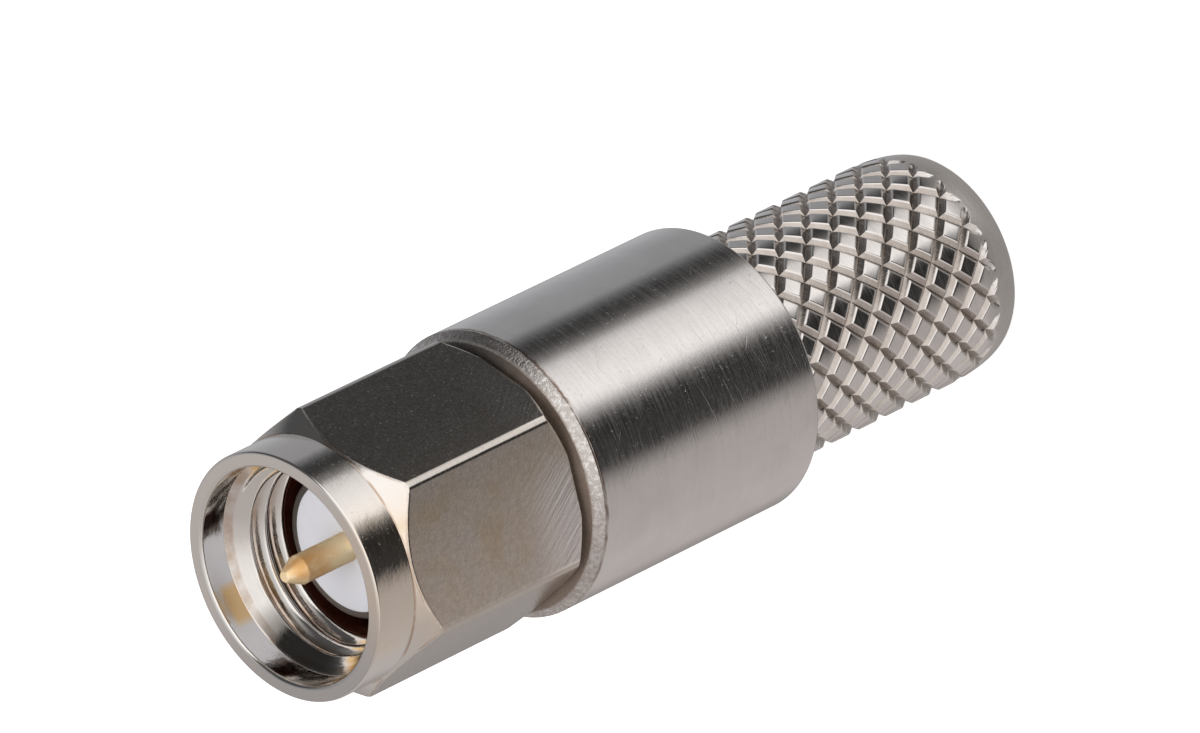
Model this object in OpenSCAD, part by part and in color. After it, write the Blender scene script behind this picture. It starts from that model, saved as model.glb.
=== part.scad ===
// Coaxial plug with a captive hexagon coupling nut and a knurled crimp stub.
// The axis is Z, the mating end points up, and the rear end face lies on Z = 0.
// Depths are measured down from the front face of the coupling nut.

/* [Coupling nut] */
// Width across the wrench flats
nut_flats = 8; // [7.8:0.1:8.6]
// Length of the nut, front face to rear face
nut_l = 8.45; // [8.2:0.05:11]
// Wall between the flats and the bore that turns on the neck
nut_wall = 0.8; // [0.7:0.05:0.9]
// How far the round bar trims each sharp hexagon corner, on the radius
nut_corner_trim = 0.06; // [0.02:0.01:0.2]
// How far the round collar lies below the flats, on the radius
nut_collar_step = 0.05; // [0.03:0.01:0.2]
// Length of the round collar in front of the hexagon
nut_collar_l = 1.5; // [0.8:0.1:2.5]
// Slope of both corner chamfers, from the axis
nut_chamfer_angle = 44; // [30:1:60]
// Radial size of the chamfer on the rear corners
nut_rear_chamfer = 0.44; // [0.1:0.02:0.5]
// Edge break around the front face and its bore
nut_edge = 0.12; // [0.02:0.01:0.2]

/* [Thread] */
// Bore of the thread at its crests
thread_bore_d = 5.7; // [5.65:0.01:5.9]
// Length of the threaded stretch
thread_l = 2.1; // [1.4:0.1:2.4]
// Wall of the collar around the plain counterbore
lead_wall = 0.5; // [0.4:0.02:0.8]
// Depth of that counterbore
lead_l = 0.5; // [0.2:0.05:0.8]
// Length of the cone between counterbore and thread
lead_cone_l = 0.45; // [0.2:0.05:0.6]

/* [Captive ring] */
// Thickness of the split ring
ring_t = 0.5; // [0.3:0.05:0.6]
// Radial width of the split ring
ring_w = 0.54; // [0.4:0.02:0.56]
// Angle of the gap in the split ring
ring_gap_angle = 24; // [10:1:60]
// Play of the ring in its grooves
ring_play = 0.08; // [0.05:0.01:0.1]

/* [Outer contact] */
// Depth of the mating plane below the front of the nut
mating_depth = 2.64; // [2.3:0.02:3]
// Outer diameter of the contact sleeve
nose_d = 4.6; // [4.55:0.01:4.62]
// Wall of the contact sleeve, around the insulator
nose_wall = 0.23; // [0.15:0.01:0.35]
// Free length of the contact sleeve in front of the gasket
nose_l = 1.6; // [1.3:0.05:2]
// Radial clearance between the neck and the nut that turns on it
neck_clearance = 0.05; // [0.02:0.01:0.09]
// Gap between the rear of the nut and the flange
nut_gap = 0.25; // [0.2:0.05:0.5]
// Thickness of the flange behind the nut
flange_t = 0.35; // [0.3:0.05:0.8]
// Chamfer on the front edge of the flange
flange_chamfer = 0.28; // [0.1:0.02:0.3]
// Depth of the spigot pressed into the body
spigot_l = 2; // [1.5:0.1:3]
// Wall of that spigot
spigot_wall = 0.7; // [0.5:0.05:0.8]

/* [Gasket] */
// Thickness of the gasket along the axis
gasket_t = 0.9; // [0.6:0.05:1]
// Height of the gasket's seat, as a share of the room between the sleeve and the rim
gasket_seat_share = 0.27; // [0.23:0.01:0.4]
// Clearance between the gasket's rim and the nut
gasket_clearance = 0.15; // [0.1:0.01:0.4]

/* [Body] */
// Wall of the body around the crimp stub
body_wall = 0.855; // [0.7:0.005:1.8]
// Length of the body, behind the flange
body_l = 9.25; // [8.5:0.05:14]
// Edge break at both ends of the body
body_edge = 0.04; // [0.02:0.01:0.1]

/* [Crimp stub] */
// Diameter over the knurl
stub_d = 7.32; // [7.2:0.02:7.8]
// Length of the stub behind the body
stub_l = 10.1; // [8:0.1:14]
// Bore for the cable's dielectric
stub_bore_d = 5; // [4:0.1:5.6]
// Depth of the stub inside the body
stub_in_l = 3; // [2.5:0.1:3.5]
// Grooves of each hand around the knurl
knurl_starts = 19; // [12:1:24]
// Distance between crossings along the axis
knurl_pitch = 1.2; // [0.9:0.05:1.6]
// Share of the pitch that a groove takes up
knurl_groove = 0.35; // [0.15:0.01:0.4]
// Depth of the grooves
knurl_depth = 0.2; // [0.1:0.01:0.22]
// Turn of the knurl about the axis
knurl_turn = -1.7; // [-9:0.1:9]
// Least length of the plain band behind the knurl
knurl_end_l = 0.5; // [0.4:0.1:1.5]
// Length over which the rear end rounds off
stub_round_l = 1.75; // [0.4:0.05:2]
// Radial drop of that rounding
stub_round_drop = 0.32; // [0.1:0.02:0.5]

/* [Center contact] */
// Diameter of the mating pin
pin_d = 0.92; // [0.9:0.01:0.94]
// Length of the pin's pointed tip
pin_tip_l = 0.8; // [0.4:0.05:1]
// Diameter of the flat on the tip
pin_tip_d = 0.22; // [0.1:0.02:0.4]
// Depth of the tip below the front of the nut
pin_recess = 0.02; // [0.01:0.01:0.5]
// Diameter inside the front insulator
pin_shank_d = 1.27; // [1.2:0.01:1.4]
// Diameter of the solder socket
socket_d = 2.4; // [2.3:0.05:2.8]
// Bore of the solder socket
socket_bore_d = 1.9; // [1.5:0.05:2]
// Depth of the bore of the solder socket
socket_l = 3.8; // [2:0.1:4]

/* [Hidden] */
$fn = 96;
nickel = [0.72, 0.70, 0.67];
gold = [0.85, 0.65, 0.25];
ptfe = [0.93, 0.94, 0.96];
ptfe_front_lip = 0.15;
insulator_setback = 0.65;
knurl_in_body = 0.9;
knurl_pocket_play = 0.06;
knurl_sink = 0.02;
knurl_root_play = 0.02;
knurl_crest_play = 0.01;
knurl_lap = 0.1;
stub_shoulder = 0.25;
nose_edge = 0.05;
socket_recess = 0.3;
bore_chamfer = 0.15;
bead_setback = 0.5;
drill_cone = 0.35;

// Radii of the nut
flat_r = nut_flats / 2;
sharp_r = flat_r / cos(30);
corner_r = sharp_r - nut_corner_trim;
collar_r = flat_r - nut_collar_step;
lead_r = collar_r - lead_wall;
rear_face_r = corner_r - nut_rear_chamfer;
front_chamfer_l = (corner_r - collar_r) / tan(nut_chamfer_angle);
rear_chamfer_l = nut_rear_chamfer / tan(nut_chamfer_angle);
turning_r = flat_r - nut_wall;
neck_r = turning_r - neck_clearance;

// Depths along the axis
thread_start = lead_l + lead_cone_l;
thread_end = thread_start + thread_l;
gasket_front = mating_depth + nose_l;
neck_front = gasket_front + gasket_t;
flange_front = nut_l + nut_gap;
body_front = flange_front + flange_t;
spigot_end = body_front + spigot_l;
body_rear = body_front + body_l;
stub_front = body_rear - stub_in_l;
total_l = body_rear + stub_l;
bead_front = body_front + bead_setback;
insulator_end = bead_front - insulator_setback;
socket_end = stub_front - socket_recess;
pocket_front = body_rear - knurl_in_body;

// The captive ring lies midway along the neck, half in the neck and half in the nut
ring_mid_r = neck_r + neck_clearance / 2;
ring_in_r = ring_mid_r - ring_w / 2;
ring_out_r = ring_mid_r + ring_w / 2;
ring_front = (neck_front + nut_l - ring_t) / 2;
ring_rear = ring_front + ring_t;

// Radii of the contact sleeve, of the gasket and of its seat
nose_r = nose_d / 2;
nose_in = nose_r - nose_wall;
gasket_r = turning_r - gasket_clearance;
seat_r = nose_r + (gasket_r - nose_r) * gasket_seat_share;

// Radii of the stub, and of the body around it
stub_r = stub_d / 2;
pocket_r = stub_r + knurl_pocket_play;
body_r = pocket_r + body_wall;
root_r = stub_r - knurl_depth;
core_r = root_r - knurl_root_play;
bead_r = core_r - stub_shoulder;
spigot_r = bead_r + spigot_wall;

// The knurl is made of half pitches, as many as fit in front of the plain band
knurl_rows = floor((stub_l + knurl_in_body - knurl_end_l) / (knurl_pitch / 2));
knurl_l = knurl_rows * knurl_pitch / 2;
knurl_end = pocket_front + knurl_l;
lattice_angle = 360 / knurl_starts;

// Turns a list of [radius, depth] corners about the axis
module turned(corners) {
    rotate_extrude() polygon([for (c = corners) [c[0], total_l - c[1]]]);
}

// A ring of rectangular section between two radii and two depths
module turned_ring(inner, outer, front, rear) {
    turned([[inner, front], [outer, front], [outer, rear], [inner, rear]]);
}

// Coupling nut: round collar, hexagon with chamfered corners, stepped bore
module nut_outline() {
    intersection() {
        translate([0, 0, total_l - nut_l]) cylinder(h = nut_l, r = sharp_r, $fn = 6);
        turned([
            [0, 0], [collar_r - nut_edge, 0], [collar_r, nut_edge], [collar_r, nut_collar_l],
            [corner_r, nut_collar_l + front_chamfer_l], [corner_r, nut_l - rear_chamfer_l],
            [rear_face_r, nut_l], [0, nut_l]
        ]);
    }
}

module nut_bore() {
    thread_r = thread_bore_d / 2;
    groove_r = ring_out_r + ring_play;
    turned([
        [0, -1], [lead_r + nut_edge, -1], [lead_r + nut_edge, 0], [lead_r, nut_edge], [lead_r, lead_l],
        [thread_r, thread_start], [thread_r, thread_end], [turning_r, thread_end],
        [turning_r, ring_front - ring_play], [groove_r, ring_front - ring_play],
        [groove_r, ring_rear + ring_play], [turning_r, ring_rear + ring_play],
        [turning_r, nut_l + 1], [0, nut_l + 1]
    ]);
}

module coupling_nut() {
    color(nickel) difference() {
        nut_outline();
        nut_bore();
    }
}

// Split ring that lies half in the neck and half in the nut, and holds the nut on
module retaining_ring() {
    color([0.75, 0.70, 0.55]) translate([0, 0, total_l - ring_rear])
        rotate(ring_gap_angle / 2)
            rotate_extrude(angle = 360 - ring_gap_angle)
                translate([ring_in_r, 0]) square([ring_w, ring_t]);
}

// Silicone gasket with bevelled rims, seated around the root of the contact sleeve
module gasket() {
    bevel = min(gasket_t / 5, (gasket_r - seat_r) / 3);
    color([0.35, 0.08, 0.05]) turned([
        [seat_r, gasket_front], [gasket_r - bevel, gasket_front], [gasket_r, gasket_front + bevel],
        [gasket_r, neck_front - bevel], [gasket_r - bevel, neck_front], [seat_r, neck_front]
    ]);
}

// Front shell: contact sleeve, neck with the ring's groove, flange and spigot
module front_shell() {
    groove_r = ring_in_r - ring_play;
    color(nickel) turned([
        [nose_in, mating_depth], [nose_r - nose_edge, mating_depth], [nose_r, mating_depth + nose_edge],
        [nose_r, gasket_front], [seat_r, gasket_front], [seat_r, neck_front],
        [neck_r, neck_front], [neck_r, ring_front - ring_play / 2],
        [groove_r, ring_front - ring_play / 2], [groove_r, ring_rear + ring_play / 2],
        [neck_r, ring_rear + ring_play / 2], [neck_r, flange_front],
        [body_r - flange_chamfer, flange_front], [body_r, flange_front + flange_chamfer],
        [body_r, body_front], [spigot_r, body_front], [spigot_r, spigot_end],
        [bead_r, spigot_end], [bead_r, bead_front], [nose_in, bead_front]
    ]);
}

// Body: a turned sleeve with a pocket for the spigot and one for the stub
module body_barrel() {
    color(nickel) turned([
        [spigot_r, body_front], [body_r - body_edge, body_front], [body_r, body_front + body_edge],
        [body_r, body_rear - body_edge], [body_r - body_edge, body_rear], [pocket_r, body_rear],
        [pocket_r, pocket_front], [core_r, pocket_front], [core_r, stub_front],
        [bead_r, stub_front], [bead_r, spigot_end], [spigot_r, spigot_end]
    ]);
}

// Crossing of two grooves: row counts half pitches, step counts crossings around
function lattice_point(radius, row, step, spread_a = 0, spread_z = 0) =
    let (a = (step + (row % 2) / 2 + spread_a) * lattice_angle)
    [
        radius * cos(a), radius * sin(a),
        total_l - pocket_front - (row + spread_z) * knurl_pitch / 2
    ];

// Band of raised diamonds with V grooves of both hands between them
module knurl_band() {
    n = knurl_starts;
    rows = knurl_rows;
    top = (1 - knurl_groove) / 2;
    crest_r = stub_r - knurl_crest_play;
    inner_r = core_r - knurl_lap;
    // Points: crossings, then four top corners for each diamond, then the two inner rings
    crossings = [for (k = [0:rows], i = [0:n - 1]) lattice_point(root_r, k, i)];
    tops = [
        for (k = [0:rows], i = [0:n - 1], corner = [0:3])
            let (
                side = corner == 0 ? -1 : corner == 2 ? 1 : 0,
                rise = corner == 1 ? (k < rows ? 1 : 0) : corner == 3 ? (k > 0 ? -1 : 0) : 0
            )
            lattice_point(crest_r, k, i, 0.5 + side * top, rise * 2 * top)
    ];
    function ring_points(k) = [
        for (i = [0:n - 1], at = [0, 0.5 - top, 0.5 + top]) lattice_point(inner_r, k, i, at)
    ];
    points = concat(crossings, tops, ring_points(0), ring_points(rows));
    t0 = len(crossings);
    r0 = t0 + len(tops);
    r1 = r0 + 3 * n;
    function crossing(k, i) = k * n + (i + n) % n;
    function top_corner(k, i, corner) = t0 + 4 * (k * n + (i + n) % n) + corner;
    // Crossing above or below the middle of a diamond
    function beyond(k, i, step) = crossing(k + step, i + (k % 2));
    top_faces = [
        for (k = [0:rows], i = [0:n - 1])
            let (l = top_corner(k, i, 0), u = top_corner(k, i, 1))
            let (r = top_corner(k, i, 2), d = top_corner(k, i, 3))
            each concat(k < rows ? [[l, r, u]] : [], k > 0 ? [[l, d, r]] : [])
    ];
    wall_faces = [
        for (k = [0:rows], i = [0:n - 1])
            let (l = top_corner(k, i, 0), u = top_corner(k, i, 1))
            let (r = top_corner(k, i, 2), d = top_corner(k, i, 3))
            let (left = crossing(k, i), right = crossing(k, i + 1))
            let (up = beyond(k, i, 1), down = beyond(k, i, -1))
            each concat(
                k < rows ? [[left, l, u], [left, u, up], [right, u, r], [right, up, u]] : [],
                k > 0 ? [[left, d, l], [left, down, d], [right, r, d], [right, d, down]] : []
            )
    ];
    // Outer rim at one end: crossing, left corner, right corner, for each diamond
    function rim(k, j) =
        let (i = floor(j / 3) % n, which = j % 3)
        which == 0 ? crossing(k, i) : top_corner(k, i, which == 1 ? 0 : 2);
    first_cap = [
        for (j = [0:3 * n - 1])
            let (a = rim(0, j), b = rim(0, j + 1), p = r0 + j, q = r0 + (j + 1) % (3 * n))
            each [[a, p, q], [a, q, b]]
    ];
    last_cap = [
        for (j = [0:3 * n - 1])
            let (a = rim(rows, j), b = rim(rows, j + 1), p = r1 + j, q = r1 + (j + 1) % (3 * n))
            each [[a, q, p], [a, b, q]]
    ];
    inner_faces = [
        for (j = [0:3 * n - 1])
            let (m = 3 * n, p = r0 + j, q = r0 + (j + 1) % m)
            let (s = r1 + j, t = r1 + (j + 1) % m)
            each [[p, s, q], [q, s, t]]
    ];
    polyhedron(points, concat(top_faces, wall_faces, first_cap, last_cap, inner_faces));
}

// Crimp stub: plain core, knurl, and a plain band that rounds off at the rear
module stub_end() {
    steps = 8;
    turned(concat(
        [[0, knurl_end - knurl_sink], [stub_r, knurl_end - knurl_sink]],
        [
            for (k = [0:steps])
                let (a = 90 * k / steps)
                [
                    stub_r - stub_round_drop * (1 - cos(a)),
                    max(knurl_end, total_l - stub_round_l) + min(stub_round_l, total_l - knurl_end) * sin(a)
                ]
        ],
        [[0, total_l]]
    ));
}

module crimp_stub() {
    bore_r = stub_bore_d / 2;
    color(nickel) difference() {
        union() {
            turned_ring(0, core_r, stub_front, knurl_end);
            rotate(knurl_turn) knurl_band();
            stub_end();
        }
        turned([
            [0, stub_front - 1], [bore_r, stub_front - 1], [bore_r, total_l - bore_chamfer],
            [bore_r + bore_chamfer, total_l], [bore_r + bore_chamfer, total_l + 1], [0, total_l + 1]
        ]);
    }
}

// Insulator in the contact sleeve, with a thin front lip around the pin
module front_insulator() {
    color(ptfe) turned([
        [pin_d / 2, mating_depth], [nose_in, mating_depth], [nose_in, insulator_end],
        [pin_shank_d / 2, insulator_end], [pin_shank_d / 2, mating_depth + ptfe_front_lip],
        [pin_d / 2, mating_depth + ptfe_front_lip]
    ]);
}

// Bead that carries the solder socket in the body
module rear_insulator() {
    color(ptfe) turned_ring(socket_d / 2, bead_r, bead_front, stub_front);
}

// Center contact: pointed pin, shank in the front insulator, solder socket
module center_contact() {
    bore_end = socket_end - socket_l;
    color(gold) turned([
        [0, pin_recess], [pin_tip_d / 2, pin_recess], [pin_d / 2, pin_recess + pin_tip_l],
        [pin_d / 2, mating_depth + ptfe_front_lip], [pin_shank_d / 2, mating_depth + ptfe_front_lip],
        [pin_shank_d / 2, insulator_end], [socket_d / 2, insulator_end], [socket_d / 2, socket_end],
        [socket_bore_d / 2, socket_end], [socket_bore_d / 2, bore_end], [0, bore_end - drill_cone]
    ]);
}

coupling_nut();
retaining_ring();
gasket();
front_shell();
body_barrel();
crimp_stub();
front_insulator();
rear_insulator();
center_contact();
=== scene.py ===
"""Looks of a coaxial plug with a captive hexagon nut and a knurled crimp stub.

The plug stands on its rear end, its axis on Z and its mating end up. Sizes are in mm until a mesh
is made. Every place comes from the boxes of the CAD nodes, and the rest are the named sizes below.
"""

import math

import bmesh
import bpy
import numpy as np
from mathutils import Matrix, Vector


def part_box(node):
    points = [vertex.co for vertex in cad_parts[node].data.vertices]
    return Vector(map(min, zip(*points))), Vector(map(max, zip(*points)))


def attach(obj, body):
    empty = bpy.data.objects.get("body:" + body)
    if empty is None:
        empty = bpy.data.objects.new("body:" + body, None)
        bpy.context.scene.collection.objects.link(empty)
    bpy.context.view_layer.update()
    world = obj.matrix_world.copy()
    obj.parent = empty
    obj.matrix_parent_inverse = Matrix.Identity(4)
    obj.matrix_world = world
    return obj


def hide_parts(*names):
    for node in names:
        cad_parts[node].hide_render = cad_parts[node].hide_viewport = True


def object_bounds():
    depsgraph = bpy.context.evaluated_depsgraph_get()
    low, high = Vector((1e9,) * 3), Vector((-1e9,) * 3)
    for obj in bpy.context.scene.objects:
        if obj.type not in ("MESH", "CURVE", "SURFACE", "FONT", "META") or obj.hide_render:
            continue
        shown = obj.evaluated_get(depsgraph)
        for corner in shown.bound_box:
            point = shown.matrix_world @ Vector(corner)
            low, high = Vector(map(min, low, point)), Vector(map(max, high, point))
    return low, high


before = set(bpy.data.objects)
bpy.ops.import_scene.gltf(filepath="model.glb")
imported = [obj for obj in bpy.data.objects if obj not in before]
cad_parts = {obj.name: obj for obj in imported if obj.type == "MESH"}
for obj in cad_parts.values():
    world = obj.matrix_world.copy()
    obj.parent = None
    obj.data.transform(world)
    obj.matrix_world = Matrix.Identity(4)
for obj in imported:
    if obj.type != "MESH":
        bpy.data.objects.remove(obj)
cad_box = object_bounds()

MM = 0.001

# ------------------------------------------------ sizes


def size_of(node):
    """Radius, rear height and front height of a CAD node, in mm."""
    low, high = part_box(node)
    return high.x / MM, low.z / MM, high.z / MM


CORNER_R, REAR_Z, FRONT_Z = size_of("coupling_nut")
FLAT_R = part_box("coupling_nut")[1].y / MM
BODY_R, BODY_REAR, BODY_FRONT = size_of("body_barrel")
STUB_R, _, STUB_FRONT = size_of("crimp_stub")
GASKET_R, NECK_FRONT, GASKET_FRONT = size_of("gasket")
NOSE_IN, INSULATOR_REAR, MATING_Z = size_of("front_insulator")
BEAD_R, BEAD_REAR, BEAD_FRONT = size_of("rear_insulator")
SOCKET_R, SOCKET_REAR, PIN_TIP = size_of("center_contact")
SPIGOT_END = size_of("front_shell")[1]
RING_R, RING_REAR, RING_FRONT = size_of("retaining_ring")

# the nut: its outside, and the steps of its bore from the front
COLLAR_R = FLAT_R - 0.05
COLLAR_L = 1.5
COLLAR_Z = FRONT_Z - COLLAR_L
CHAMFER_ANGLE = 44
REAR_CHAMFER = 0.44
NUT_SIDES = 6
FLAT_ANGLE = 360 / NUT_SIDES
CORNER_ANGLE = 2.6  # to either side of a corner, where the nut's columns stand closer together
CORNER_COLUMNS = 20
FLAT_COLUMNS = 66
HEX_FROM = 0.6  # the flats cut only what lies this far outside the turned bore
HEX_BLEND = 0.02
LEAD_R = COLLAR_R - 0.5
LEAD_L = 0.95
LEAD_CONE_L = 0.55
LEAD_Z = FRONT_Z - LEAD_L
TURNING_R = FLAT_R - 0.8
NECK_R = TURNING_R - 0.05
RING_PLAY = 0.08

THREAD_CREST_R = 2.85
THREAD_ROOT_R = 3.175
THREAD_L = 1.55
THREAD_PITCH = 25.4 / 36
THREAD_START = 342  # side of the plug where a root reaches the front face's height
THREAD_ROOT_HALF = THREAD_PITCH / 30
THREAD_FLANK = THREAD_PITCH * 0.44
THREAD_STEPS = 20  # rows of points in one pitch
THREAD_FRONT = LEAD_Z - LEAD_CONE_L
THREAD_REAR = THREAD_FRONT - THREAD_L

# the shell: contact sleeve, gasket's seat, flange and spigot
NOSE_R = 2.3
SEAT_R = NOSE_R + (GASKET_R - NOSE_R) * 0.27
FLANGE_FRONT = REAR_Z - 0.25
FLANGE_CHAMFER = 0.28
SPIGOT_R = BEAD_R + 0.7
RING_INNER_R = RING_R - 0.54

# the stub: its knurl, the pocket that the body has for it, and its round rear end
KNURL_STARTS = 19
KNURL_PITCH = 1.2
KNURL_GROOVE = 0.38  # share of the pitch
KNURL_DEPTH = 0.2
KNURL_ROWS = 17
KNURL_TURN = -1.7
KNURL_FADE = 0.3  # length over which the grooves run out
KNURL_RUN_OUT = 1.3  # how far their bottoms rise there, in depths
KNURL_VALLEY = 0.001  # how round the grooves' bottoms are
KNURL_EDGE = 0.025  # how round the diamonds' edges are
KNURL_LINES = (0, 0.05, 0.12, 0.175, 0.20, 0.23, 0.30, 0.5, 0.70, 0.77, 0.80, 0.825, 0.88, 0.95)
POCKET_R = STUB_R + 0.06
POCKET_FRONT = BODY_REAR + 0.9
KNURL_END = POCKET_FRONT - KNURL_ROWS * KNURL_PITCH / 2
CORE_R = STUB_R - 0.22
STUB_ROUND_L = 1.75
STUB_ROUND_DROP = 0.32
STUB_BORE_R = 2.5
BORE_CHAMFER = 0.15
DOME_ROWS = 15

# the contact
PIN_R = 0.46
PIN_TIP_L = 0.62
PIN_TIP_R = 0.17
SHANK_R = 0.635
LIP_L = 0.15
SOCKET_BORE_R = 0.95
SOCKET_BORE_L = 3.8
DRILL_CONE = 0.35

# points round the axis: of the large metal pieces, of the small ones and of the contact
LARGE_COLUMNS = 288
SMALL_COLUMNS = 192
PIN_COLUMNS = 96

# the outlines' roundings
FINE = 0.02  # length of the short steps that keep flat faces flat beside a rounded edge
ARC_STEP = 12  # degrees of an arc between two of its points
MOST_CUT = 0.45  # share of a straight stretch that one rounding may take up
STRAIGHT = math.pi - 0.01
TINY = 1e-6

# ------------------------------------------------ camera

VIEW_AZIMUTH = -10.56
VIEW_ELEVATION = 39.92
VIEW_ROLL = -115.89
VIEW_DISTANCE = 438.3
VIEW_AIM = (0.42, 1.47, 14.02)
VIEW_LENS = 436.5
SENSOR_WIDTH = 36


def unit(azimuth, elevation):
    """The direction that points to this azimuth and elevation."""
    around, up = math.radians(azimuth), math.radians(elevation)
    return Vector((math.cos(around) * math.cos(up), math.sin(around) * math.cos(up), math.sin(up)))


def aim_camera():
    """A long lens at the photograph's angle, rolled so that the plug lies across the picture."""
    back = unit(VIEW_AZIMUTH, VIEW_ELEVATION)
    level = Vector((0, 0, 1)).cross(back).normalized()
    upright = Matrix((level, back.cross(level), back)).transposed()
    roll = Matrix.Rotation(math.radians(VIEW_ROLL), 3, "Z")
    camera = bpy.data.objects.new("camera", bpy.data.cameras.new("camera"))
    camera.data.sensor_width = SENSOR_WIDTH
    camera.data.lens = VIEW_LENS
    camera.data.clip_start = 0.01
    camera.matrix_world = (upright @ roll).to_4x4()
    camera.location = (Vector(VIEW_AIM) + back * VIEW_DISTANCE) * MM
    bpy.context.scene.collection.objects.link(camera)
    bpy.context.scene.camera = camera


# ------------------------------------------------ nodes


class Graph:
    """Adds nodes to one tree. An input is a number, a colour, or the socket that feeds it."""

    def __init__(self, tree):
        self.tree = tree
        tree.nodes.clear()

    def node(self, kind, inputs=None, **settings):
        """A node with these settings, and with its inputs set or linked."""
        made = self.tree.nodes.new(kind)
        for key, value in settings.items():
            setattr(made, key, value)
        for key, value in (inputs or {}).items():
            if isinstance(value, bpy.types.NodeSocket):
                self.tree.links.new(value, made.inputs[key])
            else:
                made.inputs[key].default_value = value
        return made

    def math(self, operation, a, b=0.0, c=0.0):
        """One step of arithmetic on numbers."""
        return self.node("ShaderNodeMath", {0: a, 1: b, 2: c}, operation=operation).outputs[0]

    def product(self, first, *others):
        """All of them multiplied."""
        for other in others:
            first = self.math("MULTIPLY", first, other)
        return first

    def plus(self, value, share, amount):
        """value and share times amount."""
        return self.math("MULTIPLY_ADD", share, amount, value)

    def rest(self, share):
        """What share leaves of 1."""
        return self.math("SUBTRACT", 1.0, share)

    def vector(self, operation, a, b=(0, 0, 0)):
        """One step of arithmetic on vectors."""
        return self.node("ShaderNodeVectorMath", {0: a, 1: b}, operation=operation).outputs[0]

    def times(self, vector, scale):
        """vector made scale times as long."""
        inputs = {0: vector, "Scale": scale}
        return self.node("ShaderNodeVectorMath", inputs, operation="SCALE").outputs[0]

    def split(self, vector):
        """The three parts of a vector."""
        return self.node("ShaderNodeSeparateXYZ", {0: vector}).outputs

    def join(self, x, y, z):
        """The vector of three parts."""
        return self.node("ShaderNodeCombineXYZ", {0: x, 1: y, 2: z}).outputs[0]

    def noise(self, vector, scale=1.0, detail=2.0, rough=0.5):
        """Cloudy noise, about 0.5 on the whole."""
        inputs = {"Vector": vector, "Scale": scale, "Detail": detail, "Roughness": rough}
        return self.node("ShaderNodeTexNoise", inputs).outputs[0]

    def spread(self, value, low, high, to_low=0.0, to_high=1.0, smooth=True):
        """value as it goes from low to high, turned into to_low to to_high."""
        inputs = {0: value, 1: low, 2: high, 3: to_low, 4: to_high}
        kind = "SMOOTHSTEP" if smooth else "LINEAR"
        return self.node("ShaderNodeMapRange", inputs, interpolation_type=kind).outputs[0]

    def mix(self, share, a, b):
        """Colour a where share is 0, and colour b where it is 1."""
        a, b = ((*colour, 1) if isinstance(colour, tuple) else colour for colour in (a, b))
        inputs = {"Factor": share, 6: a, 7: b}
        return self.node("ShaderNodeMix", inputs, data_type="RGBA").outputs[2]

    def mix_numbers(self, share, a, b):
        """Number a where share is 0, and number b where it is 1."""
        inputs = {"Factor": share, 2: a, 3: b}
        return self.node("ShaderNodeMix", inputs, data_type="FLOAT").outputs[0]

    def ramp(self, value, stops):
        """Colours over 0 to 1, from (place, colour) pairs."""
        made = self.node("ShaderNodeValToRGB", {0: value})
        ramp = made.color_ramp
        while len(ramp.elements) < len(stops):
            ramp.elements.new(1.0)
        for element, (place, colour) in zip(ramp.elements, sorted(stops)):
            element.position = place
            element.color = (*colour, 1)
        return made.outputs[0]


# ------------------------------------------------ studio

# What stands round the plug: degrees round the axis, brightness, tint. Sides of the plug mirror the
# lower ring, and its end faces and chamfers mirror the upper one.
COOL = (0.985, 0.985, 1.02)
PLAIN = (1.02, 0.985, 0.965)
WARM = (1.06, 0.98, 0.95)
LOWER_RING = [
    (-178, 0.30, WARM),
    (-168, 0.35, WARM),
    (-152, 0.52, WARM),
    (-125, 0.58, WARM),
    (-85, 0.52, WARM),
    (-62, 0.49, WARM),
    (-54, 0.38, WARM),
    (-48, 0.22, WARM),
    (-43, 0.045, PLAIN),
    (-14, 0.025, PLAIN),
    (-7, 0.07, PLAIN),
    (1, 0.48, PLAIN),
    (8, 1.20, PLAIN),
    (16, 1.24, PLAIN),
    (36, 1.04, PLAIN),
    (46, 0.84, PLAIN),
    (54, 0.25, PLAIN),
    (61, 0.09, PLAIN),
    (67, 0.045, PLAIN),
    (74, 0.06, COOL),
    (81, 0.17, COOL),
    (88, 0.36, COOL),
    (115, 0.38, COOL),
    (145, 0.50, COOL),
    (158, 0.46, COOL),
    (170, 0.32, COOL),
]
UPPER_RING = [
    (-160, 0.52, WARM),
    (-100, 0.55, WARM),
    (-78, 0.70, WARM),
    (-56, 1.05, PLAIN),
    (-28, 1.30, PLAIN),
    (24, 1.35, PLAIN),
    (42, 1.30, PLAIN),
    (54, 0.09, PLAIN),
    (112, 0.09, COOL),
    (135, 0.42, COOL),
    (168, 0.56, WARM),
]
UNDER = (0.38, 0.36, 0.345)
OVERHEAD = (0.75, 0.75, 0.75)
WHITE = (1, 1, 1, 1)

# Heights of the direction, from -1 straight down to 1 straight up, between which one part fades into
# the next.
UNDER_FADE = (-0.76, -0.66)
RINGS_FADE = (-0.25, 0.2)
OVERHEAD_FADE = (0.75, 0.97)

LEAN = 0.2  # turns by which the lower ring leans over, for each unit of height of the direction
LEAN_HEIGHTS = (-0.74, -0.54)
LEAN_REACH = 0.1

FLOOR_SIZE = 6  # metres
FLOOR_GREY = (0.7, 0.7, 0.7, 1)
FLOOR_LIFT = 0.65  # light that the camera sees on the floor beside the lamp's and the studio's


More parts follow.
